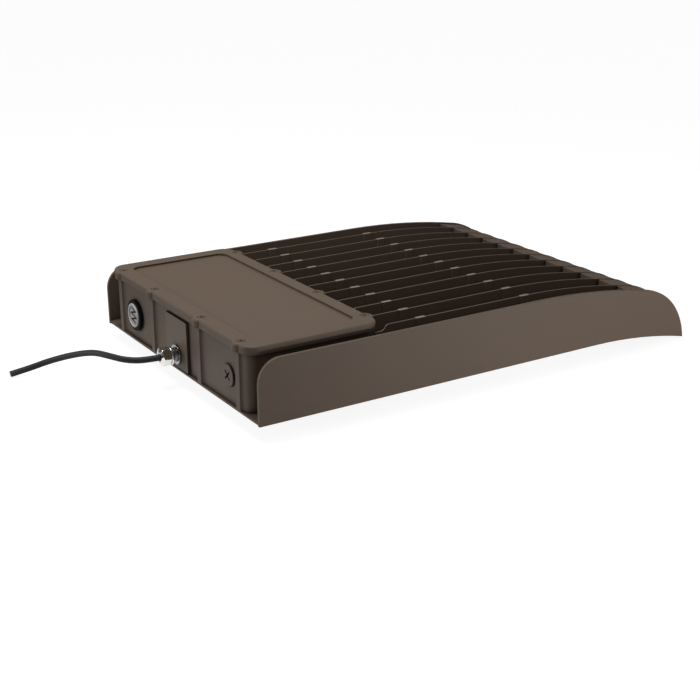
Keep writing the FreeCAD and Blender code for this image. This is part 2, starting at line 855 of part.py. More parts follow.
def led_driver():
    case = box(driver_x0, driver_x1, driver_y0, driver_y1, tray_top, tray_top + driver_h)
    upper = [e for e in case.Edges if e.BoundBox.ZMin > tray_top + driver_h - 0.1]
    case = case.makeFillet(driver_edge_r, upper)
    foot = box(driver_x0, driver_x1, driver_y0 - driver_foot, driver_y1 + driver_foot, tray_top,
               tray_top + driver_foot_t)
    case = case.fuse(foot).removeSplitter()
    holes = [rod_z(tray_top - 1, tray_top + driver_foot_t + 1, x, y, small_screw_r + screw_gap)
             for x, y in driver_foot_spots()]
    return case.cut(holes)


def driver_screws():
    z = tray_top + driver_foot_t
    return [screw_down(x, y, z, small_head_r, small_head_h, small_screw_r, driver_foot_t)
            for x, y in driver_foot_spots()]


def block_poles_x():
    step = block_size[0] / block_poles
    return [block_x + step * (k + 0.5) for k in range(block_poles)]


def block_cups():
    y = block_y + block_size[1] / 2
    return [(x, y) for x in block_poles_x()]


def terminal_block():
    sx, sy, sz = block_size
    y1 = block_y + sy
    top = tray_top + sz
    body = box(block_x, block_x + sx, block_y, y1, tray_top, top)
    cuts = [rod_z(top - block_cup_depth, top + 1, x, y, block_cup_r) for x, y in block_cups()]
    hole = core_d / 2 + fit_gap
    for x in block_poles_x():
        for z in (tray_top + mouth_low, tray_top + mouth_high):
            for y0, y in ((block_y - 1, block_y + mouth_depth), (y1 - mouth_depth, y1 + 1)):
                cuts.append(Part.makeCylinder(hole, y - y0, V(x, y0, z), V(0, 1, 0)))
    step = sx / block_poles
    for k in range(1, block_poles):
        x = block_x + k * step
        cuts.append(box(x - 0.6, x + 0.6, block_y - 1, y1 + 1, top - block_cup_depth, top + 1))
    return body.cut(cuts)


def terminal_screws():
    floor_z = tray_top + block_size[2] - block_cup_depth
    screws = []
    for x, y in block_cups():
        top = floor_z + block_screw_h
        head = rod_z(floor_z, top, x, y, block_cup_r - fit_gap)
        groove = box(x - block_cup_r, x + block_cup_r, y - slot_w / 2, y + slot_w / 2, top - slot_depth, top + 1)
        screws.append(head.cut(groove))
    return screws


def core(points):
    return tube(points, core_d)[0]


def supply_cores():
    """The cord's three cores, side by side through the gland and then round to the block."""
    start = cord_route[0][0] + fit_gap
    mouth = block_y + mouth_depth - fit_gap
    z = tray_top + mouth_high
    cores = []
    for k, x in enumerate(block_poles_x()):
        turn = math.radians(90 - 120 * k)
        dy = core_spread * math.cos(turn)
        dz = core_spread * math.sin(turn)
        y = gland_y + dy
        cores.append(core([(start, y, gland_z + dz), (x, y, gland_z + dz), (x, mouth, z)]))
    return cores


def driver_cores():
    """Two cores from the driver's front face, low along the floor to the block's outer poles."""
    mouth = block_y + mouth_depth - fit_gap
    z = tray_top + mouth_low
    cores = []
    for k, x in enumerate(block_poles_x()[1:]):
        y = driver_core_y - driver_core_step * (1 - k)
        cores.append(core([(driver_x0 - fit_gap, y, z), (x, y, z), (x, mouth, z)]))
    return cores


def photocell_cores():
    """Two cores from the dusk sensor's back to the far side of the block."""
    mouth = block_y + block_size[1] - mouth_depth + fit_gap
    z = tray_top + mouth_high
    cores = []
    for k, x in enumerate(block_poles_x()[1:]):
        y = cell_y + cell_lead_gap * (k - 0.5)
        cores.append(core([
            (cell_body_len + fit_gap, y, cell_z),
            (x + lead_slack, y - lead_slack / 3, cell_z),
            (x, cell_y - cell_lead_run, z),
            (x, mouth, z - fit_gap),
        ]))
    return cores


def earth_spot():
    return block_poles_x()[0], block_y + block_size[1] + earth_reach


def earth_core():
    x, y = earth_spot()
    mouth = block_y + block_size[1] - mouth_depth + fit_gap
    z = tray_top + mouth_low
    return core([
        (x, mouth, z),
        (x, y - earth_head_r - core_d - earth_slope, z),
        (x, y - earth_head_r - fit_gap, tray_top + core_d / 2 + fit_gap),
    ])


def earth_screw():
    x, y = earth_spot()
    return screw_down(x, y, tray_top, earth_head_r, earth_head_h, earth_screw_r, box_floor - fit_gap)


def harness_run(side):
    """One feed from the driver's end, out through the back wall and down through the deck."""
    end_x = bay_len + harness_drop
    y = side * harness_y
    return [
        (box_back - box_wall - driver_back_gap + fit_gap, y, harness_z),
        (end_x, y, harness_z),
        (end_x, y, deck_z + fit_gap),
    ]


def led_harness(side):
    return tube(harness_run(side), harness_d)[0]


def harness_grommet(side):
    y = side * harness_y
    bore = harness_d / 2 + fit_gap
    neck_r = bore + grommet_wall
    x0 = box_back - box_wall - grommet_lip_t
    x1 = box_back + grommet_lip_t
    neck = rod_x(x0, bay_len - fit_gap, y, harness_z, neck_r)
    lips = [
        rod_x(x0, box_back - box_wall, y, harness_z, neck_r + grommet_lip),
        rod_x(box_back, x1, y, harness_z, neck_r + grommet_lip),
    ]
    return join(neck, lips).cut(rod_x(x0 - 1, bay_len + 1, y, harness_z, bore))


def mirrored(shape):
    return shape.mirror(V(0, 0, 0), V(0, 1, 0))


def lens_spots():
    """Centres of the lens domes on the far panel, evenly spaced inside the window."""
    x0 = lens_x0 + lens_flange + dome_r + board_gap
    x1 = lens_x1 - lens_flange - dome_r - board_gap
    y0 = lens_y0 + lens_flange + dome_r + board_gap
    y1 = lens_y1 - lens_flange - dome_r - board_gap
    dx = (x1 - x0) / (dome_columns - 1)
    dy = (y1 - y0) / (dome_rows - 1)
    return [(x0 + i * dx, y0 + j * dy) for i in range(dome_columns) for j in range(dome_rows)]


def lens_panel():
    panel = slab(lens_x0, lens_x1, lens_y0, lens_y1, lens_z, lens_top, lens_corner_r)
    ball_r = (dome_r ** 2 + dome_h ** 2) / (2 * dome_h)
    domes = []
    for x, y in lens_spots():
        ball = Part.makeSphere(ball_r, V(x, y, lens_z - dome_h + ball_r))
        domes.append(ball.common(rod_z(lens_z - dome_h - 1, lens_z + lens_t / 2, x, y, dome_r)))
    return join(panel, domes)


def lens_gasket():
    w = lens_gasket_w
    outer = slab(lens_x0, lens_x1, lens_y0, lens_y1, lens_top, deck_z, lens_corner_r)
    inner = slab(lens_x0 + w, lens_x1 - w, lens_y0 + w, lens_y1 - w, lens_top - 1, deck_z + 1,
                 lens_corner_r - w + 1.0)
    return outer.cut(inner)


def led_board():
    m = lens_gasket_w + board_gap
    board = slab(lens_x0 + m, lens_x1 - m, lens_y0 + m, lens_y1 - m, board_z, deck_z, 2.0)
    return board


def leds():
    h = led_side / 2
    packages = [box(x - h, x + h, y - h, y + h, board_z - led_t, board_z) for x, y in lens_spots()]
    return packages + [mirrored(p) for p in packages]


def lens_frame():
    y1 = inner_half - fit_gap - 1.0
    plate = box(engine_x0 - post_edge, engine_x1 + post_edge, -y1, y1, frame_z, lens_z)
    m = lens_flange
    cuts = []
    for side in (-1, 1):
        a = side * (lens_y0 + m)
        b = side * (lens_y1 - m)
        cuts.append(slab(lens_x0 + m, lens_x1 - m, min(a, b), max(a, b), frame_z - 1, lens_z + 1, frame_window_r))
    for x, y in engine_posts():
        cuts.append(rod_z(frame_z - 1, lens_z + 1, x, y, small_screw_r + screw_gap))
    return plate.cut(cuts)


def frame_screws():
    return [screw_up(x, y, frame_z, small_head_r, small_head_h, small_screw_r,
                     deck_top - post_cap - head_gap - frame_z)
            for x, y in engine_posts()]


def supply_cord():
    cord, run, radii = tube(cord_route, cord_d)
    print("supply cord: length %.1f, section times length %.0f, volume %.0f" % (
        run, run * math.pi * cord_d ** 2 / 4, cord.Volume))
    print("supply cord arc radii:", ", ".join("%.1f" % r for r in radii))
    return cord


pieces = {
    "heat_sink": heat_sink(),
    "driver_box": driver_box(),
    "box_screws": box_screws(),
    "lid": lid(),
    "lid_gasket": lid_gasket(),
    "lid_screws": lid_screws(),
    "entry_plate": entry_plate(),
    "entry_gasket": entry_gasket(),
    "gland_collar": gland_collar(),
    "gland_body": gland_body(),
    "gland_locknut": gland_locknut(),
    "gland_seal": gland_seal(),
    "gland_ring": gland_ring(),
    "gland_nut": gland_nut(),
    "supply_cord": supply_cord(),
    "photocell_body": photocell_body(),
    "photocell_lens": photocell_lens(),
    "photocell_disc": photocell_disc(),
    "photocell_seal": photocell_seal(),
    "photocell_nut": photocell_nut(),
    "conduit_plug": conduit_plug(),
    "plug_seal": plug_seal(),
    "led_driver": led_driver(),
    "driver_screws": driver_screws(),
    "terminal_block": terminal_block(),
    "terminal_screws": terminal_screws(),
    "supply_cores": supply_cores(),
    "driver_cores": driver_cores(),
    "photocell_cores": photocell_cores(),
    "earth_core": earth_core(),
    "earth_screw": earth_screw(),
    "harness_far": led_harness(1),
    "harness_near": led_harness(-1),
    "grommet_far": harness_grommet(1),
    "grommet_near": harness_grommet(-1),
    "led_board_far": led_board(),
    "led_board_near": mirrored(led_board()),
    "leds": leds(),
    "lens_far": lens_panel(),
    "lens_near": mirrored(lens_panel()),
    "lens_gasket_far": lens_gasket(),
    "lens_gasket_near": mirrored(lens_gasket()),
    "lens_frame": lens_frame(),
    "frame_screws": frame_screws(),
}

os.makedirs("parts", exist_ok=True)
for name, piece in pieces.items():
    shape = Part.makeCompound(piece) if isinstance(piece, list) else piece
    shape.translate(V(-arm_from_end, 0, visor_drop))
    shape.exportStep("parts/%s.step" % name)
    print(name, "solids", len(shape.Solids), "valid", shape.isValid(), "volume %.0f" % shape.Volume)
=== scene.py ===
# %% [markdown]
# An LED flood light, dressed for a studio picture.
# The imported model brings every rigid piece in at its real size, in metres: +X runs from the
# driver end to the nose, +Y across and +Z up, with the origin in the middle of the arm's bolts.
# This script adds the camera, the light, the finishes and the pieces that are better made here.

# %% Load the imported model
import math

import bmesh
import bpy
from mathutils import Matrix, Vector


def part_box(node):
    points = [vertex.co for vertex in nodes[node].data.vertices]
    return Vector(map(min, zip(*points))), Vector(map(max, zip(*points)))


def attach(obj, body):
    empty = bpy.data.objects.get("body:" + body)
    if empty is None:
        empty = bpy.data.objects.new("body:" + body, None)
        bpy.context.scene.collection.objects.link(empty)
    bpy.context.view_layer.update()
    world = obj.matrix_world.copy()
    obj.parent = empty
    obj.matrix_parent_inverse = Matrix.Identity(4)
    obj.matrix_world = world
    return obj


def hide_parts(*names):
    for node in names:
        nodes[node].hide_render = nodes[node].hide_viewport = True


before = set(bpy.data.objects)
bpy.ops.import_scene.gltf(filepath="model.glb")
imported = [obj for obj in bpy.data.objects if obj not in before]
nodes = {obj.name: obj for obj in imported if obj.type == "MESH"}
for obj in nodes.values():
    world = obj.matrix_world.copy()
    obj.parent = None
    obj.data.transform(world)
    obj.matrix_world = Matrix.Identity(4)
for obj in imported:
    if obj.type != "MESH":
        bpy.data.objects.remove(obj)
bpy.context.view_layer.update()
scene = bpy.context.scene
MM = 0.001

# %% [markdown]
# The camera stands where the photographer's stood: off the driver end, a little above the lid.
# Its place and lens were worked out from the straight edges of the light, so straight edges
# line up when the picture is laid over the photograph.

# %% Camera
CAMERA_PLACE = (-0.4922, -0.9527, 0.4081)
CAMERA_YAW = 57.402
CAMERA_PITCH = 20.043
CAMERA_LENS = 65.50

camera_data = bpy.data.cameras.new("camera")
camera_data.sensor_width = 36.0
camera_data.sensor_fit = "AUTO"
camera_data.lens = CAMERA_LENS
camera_data.clip_start = 0.01
camera = bpy.data.objects.new("camera", camera_data)
camera.location = CAMERA_PLACE
camera.rotation_euler = (math.radians(90 - CAMERA_PITCH), 0, math.radians(CAMERA_YAW - 90))
scene.collection.objects.link(camera)
scene.camera = camera
print("camera lens", CAMERA_LENS, "mm")

# %% [markdown]
# The supply cord is a short length of round rubber cable. It leaves the gland straight, rises a little
# over its own stiffness and then lies down to the floor. A curve with a round bevel is the natural way
# to make it: one smooth spline through a handful of given points.

# %% Supply cord
CORD_D = 5.5 * MM
CORD_ROUTE = [
    (-0.0750, -0.0045, 0.0286),
    (-0.0920, -0.0045, 0.0286),
    (-0.1065, 0.0030, 0.0292),
    (-0.1160, 0.0175, 0.0306),
    (-0.1220, 0.0340, 0.0298),
    (-0.1290, 0.0505, 0.0252),
    (-0.1380, 0.0670, 0.0188),
    (-0.1495, 0.0825, 0.0114),
    (-0.1630, 0.0915, 0.0050),
    (-0.1797, 0.0922, 0.0028),
]


def round_curve(name, routes, diameter):
    """A round tube along smooth splines, one for each route of control points.

    A tube's radius is the bevel depth times the points' own radius. A curve's box is measured
    with the points' radius alone, so that one carries the real size and the depth is one metre.
    """
    curve = bpy.data.curves.new(name, "CURVE")
    curve.dimensions = "3D"
    curve.bevel_depth = 1.0
    curve.bevel_resolution = 8
    curve.resolution_u = 12
    curve.use_fill_caps = True
    for route in routes:
        spline = curve.splines.new("NURBS")
        spline.points.add(len(route) - 1)
        for point, place in zip(spline.points, route):
            point.co = (*place, 1.0)
            point.radius = diameter / 2
        spline.order_u = 3
        spline.use_endpoint_u = True
    piece = bpy.data.objects.new(name, curve)
    scene.collection.objects.link(piece)
    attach(piece, "housing")
    return piece


cord = round_curve("supply_cord_sheath", [CORD_ROUTE], CORD_D)
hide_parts("supply_cord")
print("supply cord:", len(CORD_ROUTE), "control points")

# %% [markdown]
# Inside the driver box the same kind of curve makes the wiring. The cord's three cores run from
# the gland to the terminal block, the driver's two come back to it along the floor, the dusk
# sensor's two reach its far side, and the earth core goes to a brass screw in the floor.

# %% Wiring inside the box
CORE_D = 2.4 * MM
ARM_FROM_END = 62.0
VISOR_DROP = 12.6
POLES_X = (21.0, 31.0, 41.0)
GLAND_Y = -4.5
GLAND_Z = 16.0
CORE_SPREAD = 1.45
CELL_Y = 85.3
CELL_Z = 26.0


def bay(x, y, z):
    """A place in the driver bay, measured in millimetres from the end of the plates."""
    return ((x - ARM_FROM_END) * MM, y * MM, (z + VISOR_DROP) * MM)


supply_routes = []
for k, x in enumerate(POLES_X):
    turn = math.radians(90 - 120 * k)
    y = GLAND_Y + CORE_SPREAD * math.cos(turn)
    z = GLAND_Z + CORE_SPREAD * math.sin(turn)
    supply_routes.append([bay(-12.8, y, z), bay(10, y, z), bay(x, y, z), bay(x, 20.8, 16)])
driver_routes = [
    [bay(47.8, y, 9.5), bay(x, y, 9.5), bay(x, 20.8, 9.5)]
    for x, y in zip(POLES_X[1:], (-36.0, -30.0))
]
sensor_routes = [
    [bay(27.2, y, CELL_Z), bay(x + 3, y - 1, CELL_Z), bay(x, CELL_Y - 40, 16), bay(x, 33.2, 15.8)]
    for x, y in zip(POLES_X[1:], (CELL_Y - 5, CELL_Y + 5))
]
earth_routes = [[bay(21, 33.2, 9.5), bay(21, 51.1, 9.5), bay(21, 57.3, 6.9)]]

leads = {}
for node, slot, routes in (
    ("supply_cores", "core_sheath", supply_routes),
    ("driver_cores", "core_sheath", driver_routes),
    ("photocell_cores", "core_sheath", sensor_routes),
    ("earth_core", "earth_sheath", earth_routes),
):
    leads[node] = round_curve(node + "_insulation", routes, CORE_D)
    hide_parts(node)
print("leads:", {name: len(piece.data.splines) for name, piece in leads.items()})

# %% [markdown]
# Shader groups come first, because several finishes share them. Powder coat has a fine orange
# peel, and a casting has slow unevenness under it. Both are noise at two scales.

# %% Shared effect: powder coat


def new_group(name, inputs, outputs):
    tree = bpy.data.node_groups.new(name, "ShaderNodeTree")
    for label, kind, value in inputs:
        socket = tree.interface.new_socket(label, in_out="INPUT", socket_type=kind)
        if value is not None:
            socket.default_value = value
    for label, kind in outputs:
        tree.interface.new_socket(label, in_out="OUTPUT", socket_type=kind)
    return tree, tree.nodes.new("NodeGroupInput"), tree.nodes.new("NodeGroupOutput")


def add_node(tree, kind, **sockets):
    node = tree.nodes.new(kind)
    for label, value in sockets.items():
        node.inputs[label.replace("_", " ")].default_value = value
    return node


def add_math(tree, operation, first, second, third=None):
    """A Math node whose inputs are sockets to link or plain numbers."""
    node = tree.nodes.new("ShaderNodeMath")
    node.operation = operation
    for place, value in enumerate((first, second, third)):
        if value is None:
            continue
        if isinstance(value, (int, float)):
            node.inputs[place].default_value = value
        else:
            tree.links.new(value, node.inputs[place])
    return node.outputs[0]


def powder_coat_group():
    """Colour that drifts slowly, roughness and height that follow the fine peel."""
    tree, given, result = new_group(
        "powder_coat",
        [
            ("Vector", "NodeSocketVector", None),
            ("Tone", "NodeSocketColor", (0.1, 0.1, 0.1, 1)),
            ("Tone shift", "NodeSocketFloat", 0.12),
            ("Peel size", "NodeSocketFloat", 900.0),
            ("Roughness", "NodeSocketFloat", 0.45),
        ],
        [("Color", "NodeSocketColor"), ("Roughness", "NodeSocketFloat"), ("Height", "NodeSocketFloat")],
    )
    link = tree.links.new
    peel = add_node(tree, "ShaderNodeTexNoise", Detail=3.0, Roughness=0.55)
    link(given.outputs["Vector"], peel.inputs["Vector"])
    link(given.outputs["Peel size"], peel.inputs["Scale"])
    cloud = add_node(tree, "ShaderNodeTexNoise", Scale=14.0, Detail=4.0, Roughness=0.6)
    link(given.outputs["Vector"], cloud.inputs["Vector"])
    swing = add_math(tree, "SUBTRACT", cloud.outputs["Fac"], 0.5)
    grain = add_math(tree, "SUBTRACT", peel.outputs["Fac"], 0.5)
    both = add_math(tree, "MULTIPLY_ADD", grain, 0.6, swing)
    value = add_math(tree, "MULTIPLY_ADD", both, given.outputs["Tone shift"], 1.0)
    shade = tree.nodes.new("ShaderNodeHueSaturation")
    link(given.outputs["Tone"], shade.inputs["Color"])
    link(value, shade.inputs["Value"])
    link(shade.outputs["Color"], result.inputs["Color"])
    uneven = add_math(tree, "MULTIPLY_ADD", peel.outputs["Fac"], 0.10, given.outputs["Roughness"])
    link(uneven, result.inputs["Roughness"])
    link(peel.outputs["Fac"], result.inputs["Height"])
    return tree


POWDER_COAT = powder_coat_group()

# %% [markdown]
# Edges are where a coat thins and a hand rubs, and the same lighter edge is also a painted highlight.
# The Bevel node gives a normal that is rounded near an edge. Where it departs from the true normal
# there is an edge, and a little noise breaks that line up. The two side plates are what hands and boxes
# rub and where their edges catch the light, so the mask fades away from them. The rounded normal also
# softens the knife edges of a modelled casting.

# %% Shared effect: edge wear and painted highlight
WEAR_AND_HIGHLIGHT_FADES_OUT = 140.0 * MM
WEAR_AND_HIGHLIGHT_IS_FULL = 147.0 * MM


def edge_wear_and_highlight_group():
    tree, given, result = new_group(
        "edge_wear_and_highlight_mask",
        [
            ("Vector", "NodeSocketVector", None),
            ("Radius", "NodeSocketFloat", 0.0006),
            ("Amount", "NodeSocketFloat", 0.5),
        ],
        [("Mask", "NodeSocketFloat"), ("Normal", "NodeSocketVector")],
    )
    link = tree.links.new
    rounded = tree.nodes.new("ShaderNodeBevel")
    rounded.samples = 6
    link(given.outputs["Radius"], rounded.inputs["Radius"])
    true_face = tree.nodes.new("ShaderNodeNewGeometry")
    agree = tree.nodes.new("ShaderNodeVectorMath")
    agree.operation = "DOT_PRODUCT"
    link(rounded.outputs["Normal"], agree.inputs[0])
    link(true_face.outputs["True Normal"], agree.inputs[1])
    apart = add_math(tree, "SUBTRACT", 1.0, agree.outputs["Value"])
    strength = add_math(tree, "MULTIPLY", apart, 6.0)
    patches = add_node(tree, "ShaderNodeTexNoise", Scale=120.0, Detail=4.0, Roughness=0.65)
    link(given.outputs["Vector"], patches.inputs["Vector"])
    broken = add_math(tree, "MULTIPLY", strength, patches.outputs["Fac"])
    place = tree.nodes.new("ShaderNodeSeparateXYZ")
    link(given.outputs["Vector"], place.inputs["Vector"])
    aside = add_math(tree, "ABSOLUTE", place.outputs["Y"], 0.0)
    outer = add_node(tree, "ShaderNodeMapRange", From_Min=WEAR_AND_HIGHLIGHT_FADES_OUT, From_Max=WEAR_AND_HIGHLIGHT_IS_FULL)
    link(aside, outer.inputs["Value"])
    amount = add_math(tree, "MULTIPLY", given.outputs["Amount"], outer.outputs["Result"])
    mask = add_math(tree, "MULTIPLY", broken, amount)
    tree.nodes[-1].use_clamp = True
    link(mask, result.inputs["Mask"])
    link(rounded.outputs["Normal"], result.inputs["Normal"])
    return tree


EDGE_WEAR_AND_HIGHLIGHT = edge_wear_and_highlight_group()

# %% [markdown]
# Little light finds its way into crevices, so the coat is painted darker there: painted shade. Ambient
# occlusion measures how closed in a spot is, within a few millimetres, and sets how much darker.

# %% Shared effect: painted crevice shade


def crevice_shade_group():
    tree, given, result = new_group(
        "painted_crevice_shade",
        [
            ("Color", "NodeSocketColor", (0.5, 0.5, 0.5, 1)),
            ("Reach", "NodeSocketFloat", 0.006),
            ("Darkest", "NodeSocketFloat", 0.20),
        ],
        [("Color", "NodeSocketColor")],
    )
    link = tree.links.new
    closed_in = tree.nodes.new("ShaderNodeAmbientOcclusion")
    closed_in.samples = 6
    link(given.outputs["Reach"], closed_in.inputs["Distance"])
    level = add_node(tree, "ShaderNodeMapRange", From_Min=0.5, From_Max=0.95, To_Max=1.0)
    link(closed_in.outputs["AO"], level.inputs["Value"])
    link(given.outputs["Darkest"], level.inputs["To Min"])
    shade = tree.nodes.new("ShaderNodeHueSaturation")
    link(given.outputs["Color"], shade.inputs["Color"])
    link(level.outputs["Result"], shade.inputs["Value"])
    link(shade.outputs["Color"], result.inputs["Color"])
    return tree


CREVICE_SHADE = crevice_shade_group()

# %% [markdown]
# Each fin has two small pads, where pins pushed the casting out of its mould. Their up-facing tops are
# painted lighter, as a painted highlight. The pads stand in two rows across the light, so a place along
# X, a height well above the deck and a face that looks up are enough to find them.

# %% Shared effect: painted highlight on the pads
PAD_ROWS = (106.0 * MM, 219.0 * MM)
PAD_LEN = 10.0 * MM
PAD_LOWEST = 45.0 * MM
PLATES_INSIDE = 140.0 * MM
LOOKS_UP = 0.9


def pad_top_highlight_group():
    tree, given, result = new_group(
        "pad_top_painted_highlight", [("Vector", "NodeSocketVector", None)], [("Mask", "NodeSocketFloat")])
    place = tree.nodes.new("ShaderNodeSeparateXYZ")
    tree.links.new(given.outputs["Vector"], place.inputs["Vector"])
    face = tree.nodes.new("ShaderNodeSeparateXYZ")
    shape = tree.nodes.new("ShaderNodeNewGeometry")
    tree.links.new(shape.outputs["True Normal"], face.inputs["Vector"])
    rows = [add_math(tree, "COMPARE", place.outputs["X"], x, PAD_LEN / 2) for x in PAD_ROWS]
    mask = add_math(tree, "MAXIMUM", *rows)
    high = add_math(tree, "GREATER_THAN", place.outputs["Z"], PAD_LOWEST)
    between = add_math(tree, "COMPARE", place.outputs["Y"], 0.0, PLATES_INSIDE)
    up = add_math(tree, "GREATER_THAN", face.outputs["Z"], LOOKS_UP)
    for limit in (high, between, up):
        mask = add_math(tree, "MULTIPLY", mask, limit)
    tree.links.new(mask, result.inputs["Mask"])
    return tree


PAD_TOP_HIGHLIGHT = pad_top_highlight_group()
print("shader groups:", [g.name for g in bpy.data.node_groups])

# %% [markdown]
# Each finish is one Principled BSDF. Constant values sit on its own sockets and only what
# changes over the surface is linked in.

# %% Finishes


def finish(name, **sockets):
    material = bpy.data.materials.new(name)
    material.use_nodes = True
    shader = material.node_tree.nodes["Principled BSDF"]
    for label, value in sockets.items():
        shader.inputs[label.replace("_", " ")].default_value = value
    return material, material.node_tree, shader


def use_group(tree, group, **values):
    node = tree.nodes.new("ShaderNodeGroup")
    node.node_tree = group
    for label, value in values.items():
        node.inputs[label.replace("_", " ")].default_value = value
    return node


def coated(name, tone, roughness, shift=0.12, peel=900.0, bump=0.06, wear_and_highlight=None, edge=0.0003,
           dark=0.2, pads=False, **sockets):
    """A coat of one tone.

    The lighter edge tone stands for coat thinned at edges and also paints highlights, on the plates'
    edges and, where pads is set, on the fins' pad tops. dark is how much of the coat's brightness is
    kept in the painted shade of hollows. A coat without that tone has no lighter edges and no painted
    shade of its own.
    """
    material, tree, shader = finish(name, **sockets)
    place = tree.nodes.new("ShaderNodeTexCoord").outputs["Object"]
    coat = use_group(tree, POWDER_COAT, Tone=(*tone, 1), Tone_shift=shift, Peel_size=peel,
                     Roughness=roughness)
    tree.links.new(place, coat.inputs["Vector"])
    tree.links.new(coat.outputs["Roughness"], shader.inputs["Roughness"])
    dent = add_node(tree, "ShaderNodeBump", Strength=bump, Distance=0.0004)
    tree.links.new(coat.outputs["Height"], dent.inputs["Height"])
    tree.links.new(dent.outputs["Normal"], shader.inputs["Normal"])
    if wear_and_highlight is None:
        tree.links.new(coat.outputs["Color"], shader.inputs["Base Color"])
        return material
    # Edges of the side plates, and the fins' pad tops where pads is set, take the lighter tone: part
    # edge wear, part painted highlight.
    wear_and_highlight_node = use_group(tree, EDGE_WEAR_AND_HIGHLIGHT, Radius=edge, Amount=0.6)
    tree.links.new(place, wear_and_highlight_node.inputs["Vector"])
    lightened_coat = tree.nodes.new("ShaderNodeMix")
    lightened_coat.data_type = "RGBA"
    mask = wear_and_highlight_node.outputs["Mask"]
    if pads:
        tops = use_group(tree, PAD_TOP_HIGHLIGHT)
        tree.links.new(place, tops.inputs["Vector"])
        mask = add_math(tree, "MAXIMUM", mask, tops.outputs["Mask"])
    tree.links.new(mask, lightened_coat.inputs["Factor"])
    tree.links.new(coat.outputs["Color"], lightened_coat.inputs[6])
    lightened_coat.inputs[7].default_value = (*wear_and_highlight, 1)
    # Hollows and corners are darkened here: painted shade.
    painted_crevice_shade = use_group(tree, CREVICE_SHADE, Darkest=dark)
    tree.links.new(lightened_coat.outputs[2], painted_crevice_shade.inputs["Color"])
    tree.links.new(painted_crevice_shade.outputs["Color"], shader.inputs["Base Color"])
    tree.links.new(wear_and_highlight_node.outputs["Normal"], dent.inputs["Normal"])
    return material


BRONZE_TONE = (0.115, 0.0815, 0.0587)
# The lighter bronze tone is for coat thinned at edges and for painted highlights on the plate edges and
# pad tops.
BRONZE_WEAR_AND_HIGHLIGHT = (0.210, 0.166, 0.134)
BRONZE = coated("bronze_powder_coat", BRONZE_TONE, 0.50, wear_and_highlight=BRONZE_WEAR_AND_HIGHLIGHT, Specular_IOR_Level=0.25)
SINK_BRONZE = coated("heat_sink_coat", BRONZE_TONE, 0.50, wear_and_highlight=BRONZE_WEAR_AND_HIGHLIGHT, dark=0.65, pads=True,
                     Specular_IOR_Level=0.25)
LID_BRONZE = coated("lid_coat", BRONZE_TONE, 0.50, wear_and_highlight=BRONZE_WEAR_AND_HIGHLIGHT, dark=0.5, Specular_IOR_Level=0.25)
ENTRY_TONE = (0.135, 0.098, 0.074)
ENTRY_BRONZE = coated("entry_plate_coat", ENTRY_TONE, 0.48, wear_and_highlight=BRONZE_WEAR_AND_HIGHLIGHT, Specular_IOR_Level=0.25)
SCREW_TONE = (0.108, 0.076, 0.055)
DARK_SCREW = coated("bronze_screw", SCREW_TONE, 0.46, wear_and_highlight=BRONZE_WEAR_AND_HIGHLIGHT, edge=0.0002,
                    Specular_IOR_Level=0.25)
STEEL = coated("zinc_plate", (0.62, 0.62, 0.60), 0.28, peel=400.0, Metallic=1.0)
BRASS = coated("turned_brass", (0.72, 0.55, 0.24), 0.25, peel=500.0, Metallic=1.0)
NICKEL = coated("nickel_plate", (0.76, 0.75, 0.72), 0.05, shift=0.05, peel=300.0, bump=0.02,
                wear_and_highlight=(0.86, 0.85, 0.83), edge=0.0003, Metallic=1.0)
# The threads' nickel is much darker than the rest of the gland: painted shade in the thread grooves.
THREAD_SHADE_NICKEL = coated("nickel_painted_thread_shade", (0.22, 0.21, 0.20), 0.30, shift=0.05, peel=300.0, bump=0.02,
                     Metallic=1.0)
NYLON = coated("grey_nylon", (0.45, 0.45, 0.44), 0.45)
BLACK_RUBBER = coated("black_rubber", (0.014, 0.013, 0.013), 0.60)
GREY_RUBBER = coated("grey_silicone", (0.30, 0.30, 0.30), 0.60)
CORD_RUBBER = coated("cord_rubber", (0.034, 0.034, 0.035), 0.50, peel=700.0, Specular_IOR_Level=0.2)
CORE_CUT = coated("core_ends", (0.16, 0.16, 0.16), 0.50)
CORE_RUBBER = coated("core_insulation", (0.030, 0.030, 0.032), 0.40)
EARTH_RUBBER = coated("earth_insulation", (0.09, 0.30, 0.07), 0.40)
HARNESS_RUBBER = coated("harness_insulation", (0.34, 0.03, 0.025), 0.40)
BLACK_PLASTIC = coated("black_plastic", (0.008, 0.008, 0.008), 0.50, Specular_IOR_Level=0.04)
RIM_PLASTIC = coated("sensor_rim", (0.56, 0.55, 0.53), 0.30, bump=0.02)
SENSOR = coated("sensor_face", (0.42, 0.413, 0.40), 0.50)
TRACK = coated("sensor_track", (0.010, 0.008, 0.007), 0.55, Specular_IOR_Level=0.1)
DRIVER_CASE = coated("driver_case", (0.52, 0.53, 0.55), 0.40, Metallic=0.6)
CREAM = coated("terminal_plastic", (0.66, 0.63, 0.53), 0.45)
BOARD = coated("board_mask", (0.80, 0.80, 0.79), 0.35)
CERAMIC = coated("led_ceramic", (0.74, 0.73, 0.70), 0.40, shift=0.04)
PHOSPHOR = coated("led_phosphor", (0.80, 0.62, 0.10), 0.35)
LABEL = coated("blank_label", (0.60, 0.60, 0.58), 0.55, shift=0.06, peel=1500.0)
COPPER = coated("copper_strand", (0.75, 0.36, 0.20), 0.30, peel=2500.0, Metallic=1.0)
CLEAR = coated("clear_lens", (0.92, 0.94, 0.95), 0.06, shift=0.02, bump=0.01,
               Transmission_Weight=1.0, IOR=1.49)

